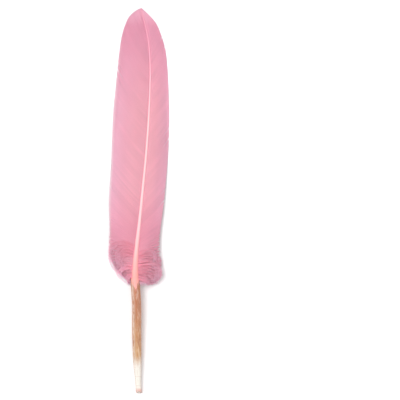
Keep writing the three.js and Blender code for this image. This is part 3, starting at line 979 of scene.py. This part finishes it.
# ---- what a user may change ----
class FeatherSizes(bpy.types.PropertyGroup):
    """Sizes of the feather's fine parts."""

    barb_spacing: bpy.props.FloatProperty(
        name="Barb spacing",
        description="Distance between the roots of two barbs, along the rachis",
        default=0.36 * MM, min=0.3 * MM, max=2 * MM, precision=5, unit="LENGTH",
    )
    barb_ridge: bpy.props.FloatProperty(
        name="Barb rib",
        description="Height of the rib along the top of a barb",
        default=0.05 * MM, min=0.0, max=0.3 * MM, precision=5, unit="LENGTH",
    )
    looseness: bpy.props.FloatProperty(
        name="Looseness",
        description="How far neighbouring barbs draw together at the margin",
        default=0.1, min=0.0, max=0.6, subtype="FACTOR",
    )
    down_locks: bpy.props.IntProperty(
        name="Downy locks",
        description="Number of downy locks on each side of the foot",
        default=11, min=3, max=12,
    )
    down_fuzz: bpy.props.FloatProperty(
        name="Down barbule",
        description="Length of the longest barbules on a downy barb",
        default=0.9 * MM, min=0.2 * MM, max=3 * MM, precision=5, unit="LENGTH",
    )
    cap_spacing: bpy.props.FloatProperty(
        name="Pulp cap spacing",
        description="Distance between the membranes inside the quill",
        default=3.6 * MM, min=1 * MM, max=12 * MM, precision=5, unit="LENGTH",
    )


def colour_property(name, description, code):
    return bpy.props.FloatVectorProperty(
        name=name, description=description, subtype="COLOR", size=4, min=0, max=1, default=dye(code)
    )


class FeatherColours(bpy.types.PropertyGroup):
    """Colours of the dyed feather and the floor, with painted shade and a painted highlight among them."""

    near_shaft: colour_property("Barbs by the rachis", "Where the barbs leave the rachis", "F9ABBA")
    middle: colour_property("Barbs in the middle", "Half way out on the vanes", "F6ABBE")
    broad_margin: colour_property("Broad margin", "Outer part of the broad vane", "F6B1C7")
    narrow_margin: colour_property("Narrow margin", "Outer part of the narrow vane", "FAB2C8")
    # a painted highlight along the broad vane's outer edge
    rim: colour_property("Rim", "Ends of the barbs", "FFCFDD")
    tip: colour_property("Tip", "Barbs at the tip of the feather", "EF9EB6")
    foot: colour_property("Foot", "Lowest barbs of the vanes", "E68BA3")
    down_root: colour_property("Down by the rachis", "Where the downy barbs start", "FFA8BB")
    down: colour_property("Down", "Downy barbs", "FFBED2")
    # painted shade for the down in the lower layers
    down_under_shade: colour_property("Deep down", "Down that lies underneath", "FDA9BD")
    down_tip: colour_property("Down ends", "Ends of the down", "FFD4E8")
    rachis_base: colour_property("Rachis base", "Pith at the foot of the vanes", "FBAAA4")
    rachis: colour_property("Rachis", "Middle of the rachis", "FFC8CC")
    rachis_tip: colour_property("Rachis tip", "Rachis near the tip", "F6ADC0")
    rachis_end: colour_property("Rachis end", "Last of the rachis, at the tip", "F0A9BC")
    horn_pale: colour_property("Pale horn", "Lower quill", "FFFAF0")
    horn: colour_property("Horn", "Middle of the quill", "DAA874")
    horn_deep: colour_property("Deep horn", "Quill below the vanes", "C67B57")
    cut_end: colour_property("Cut end", "Dyed rim of the cut quill", "F2C0B4")
    # also the colour of the painted shade along the quill's edges
    horn_streak_and_edge_shade: colour_property("Horn streaks", "Streaks and edges of the quill", "BC7F5C")
    membrane: colour_property("Membrane", "Dry pulp caps inside the quill", "D9B79A")
    floor: colour_property("Floor", "Floor under the feather", "FBFAFB")


# ---- operators ----
class FEATHER_OT_shaft(bpy.types.Operator):
    """Build the hollow quill and the rachis that it runs into"""

    bl_idname = "feather.shaft"
    bl_label = "Quill and Rachis"

    def execute(self, context):
        colours = context.scene.feather_colours
        cap_spacing = context.scene.feather_sizes.cap_spacing / MM
        points, faces, marks, material_of_face = quill_and_rachis()
        materials = [horn_material(colours, cap_spacing), rachis_material(colours)]
        piece("quill_and_rachis", points, faces, marks, materials, "quill", material_of_face)
        return {"FINISHED"}


class FEATHER_OT_pulp_caps(bpy.types.Operator):
    """Build the dry membranes inside the lower quill"""

    bl_idname = "feather.pulp_caps"
    bl_label = "Pulp Caps"

    def execute(self, context):
        spacing = context.scene.feather_sizes.cap_spacing / MM
        material = membrane_material(context.scene.feather_colours)
        piece("pulp_caps", *pulp_caps(spacing), [material], "quill")
        return {"FINISHED"}


class FEATHER_OT_vanes(bpy.types.Operator):
    """Build every barb of the broad vane and of the narrow vane"""

    bl_idname = "feather.vanes"
    bl_label = "Vanes"

    def execute(self, context):
        sizes, colours = context.scene.feather_sizes, context.scene.feather_colours
        # only the broad vane gets the painted highlight on its rim
        broad = barb_material("Dyed barbs, broad vane", colours, colours.broad_margin, colours.rim)
        narrow = barb_material(
            "Dyed barbs, narrow vane", colours, colours.narrow_margin, colours.narrow_margin
        )
        piece("broad_vane", *vane_barbs(LEFT, sizes), [broad], "vane")
        piece("narrow_vane", *vane_barbs(RIGHT, sizes), [narrow], "vane")
        return {"FINISHED"}


class FEATHER_OT_down(bpy.types.Operator):
    """Build the downy barbs with their barbules on both sides of the foot"""

    bl_idname = "feather.down"
    bl_label = "Down"

    def execute(self, context):
        sizes = context.scene.feather_sizes
        material = down_material(context.scene.feather_colours)
        piece("broad_side_down", *down_barbs(LEFT, sizes), [material], "vane")
        piece("narrow_side_down", *down_barbs(RIGHT, sizes), [material], "vane")
        return {"FINISHED"}


class FEATHER_OT_stage(bpy.types.Operator):
    """Lay the floor, hang the lights and set the camera above the feather"""

    bl_idname = "feather.stage"
    bl_label = "Stage"

    def execute(self, context):
        scene = context.scene
        scene.view_settings.view_transform = "Standard"
        floor = bpy.data.meshes.new("floor")
        corners = [(x * FLOOR_REACH, y * FLOOR_REACH, 0) for x, y in ((-1, -1), (1, -1), (1, 1), (-1, 1))]
        floor.from_pydata(corners, [], [(0, 1, 2, 3)])
        paper, _, _, shader = new_material("Pale paper", 0.9, Specular_IOR_Level=0.1)
        shader.inputs["Base Color"].default_value = scene.feather_colours.floor
        floor.materials.append(paper)
        floor_object = bpy.data.objects.new("floor", floor)
        scene.collection.objects.link(floor_object)

        self.add_light(scene, "key", **KEY_LIGHT)
        self.add_light(scene, "fill", **FILL_LIGHT)
        world = bpy.data.worlds.new("studio")
        world.use_nodes = True
        background = world.node_tree.nodes["Background"]
        background.inputs["Color"].default_value = (1, 1, 1, 1)
        background.inputs["Strength"].default_value = WORLD_LIGHT
        scene.world = world

        camera = bpy.data.cameras.new("camera")
        camera.lens = CAMERA_LENS
        camera.clip_end = CAMERA_CLIP
        height = VIEW_WIDTH * MM * CAMERA_LENS / camera.sensor_width
        camera_object = bpy.data.objects.new("camera", camera)
        camera_object.location = (VIEW_CENTRE[0] * MM, VIEW_CENTRE[1] * MM, height)
        scene.collection.objects.link(camera_object)
        scene.camera = camera_object
        return {"FINISHED"}

    def add_light(self, scene, name, place, size, power):
        light = bpy.data.lights.new(name, "AREA")
        light.size = size
        light.energy = power
        light_object = bpy.data.objects.new(name, light)
        light_object.location = place
        light_object.rotation_euler = Vector(place).to_track_quat("Z", "Y").to_euler()
        scene.collection.objects.link(light_object)


class FEATHER_PT_panel(bpy.types.Panel):
    """Steps that build the feather, with its sizes and colours"""

    bl_idname = "FEATHER_PT_panel"
    bl_label = "Goose Quill Feather"
    bl_space_type = "VIEW_3D"
    bl_region_type = "UI"
    bl_category = "Feather"

    def draw(self, context):
        layout = self.layout
        for settings in (context.scene.feather_sizes, context.scene.feather_colours):
            box = layout.box()
            for name in settings.__annotations__:
                box.prop(settings, name)
        for operator in OPERATORS:
            layout.operator(operator.bl_idname)


OPERATORS = (
    FEATHER_OT_shaft, FEATHER_OT_pulp_caps, FEATHER_OT_vanes, FEATHER_OT_down, FEATHER_OT_stage
)
CLASSES = (FeatherSizes, FeatherColours, *OPERATORS, FEATHER_PT_panel)


def register():
    for cls in CLASSES:
        bpy.utils.register_class(cls)
    bpy.types.Scene.feather_sizes = bpy.props.PointerProperty(type=FeatherSizes)
    bpy.types.Scene.feather_colours = bpy.props.PointerProperty(type=FeatherColours)


def unregister():
    del bpy.types.Scene.feather_colours
    del bpy.types.Scene.feather_sizes
    for cls in reversed(CLASSES):
        bpy.utils.unregister_class(cls)


def main():
    register()
    bpy.ops.feather.shaft()
    bpy.ops.feather.pulp_caps()
    bpy.ops.feather.vanes()
    bpy.ops.feather.down()
    bpy.ops.feather.stage()


if __name__ == "__main__":
    main()
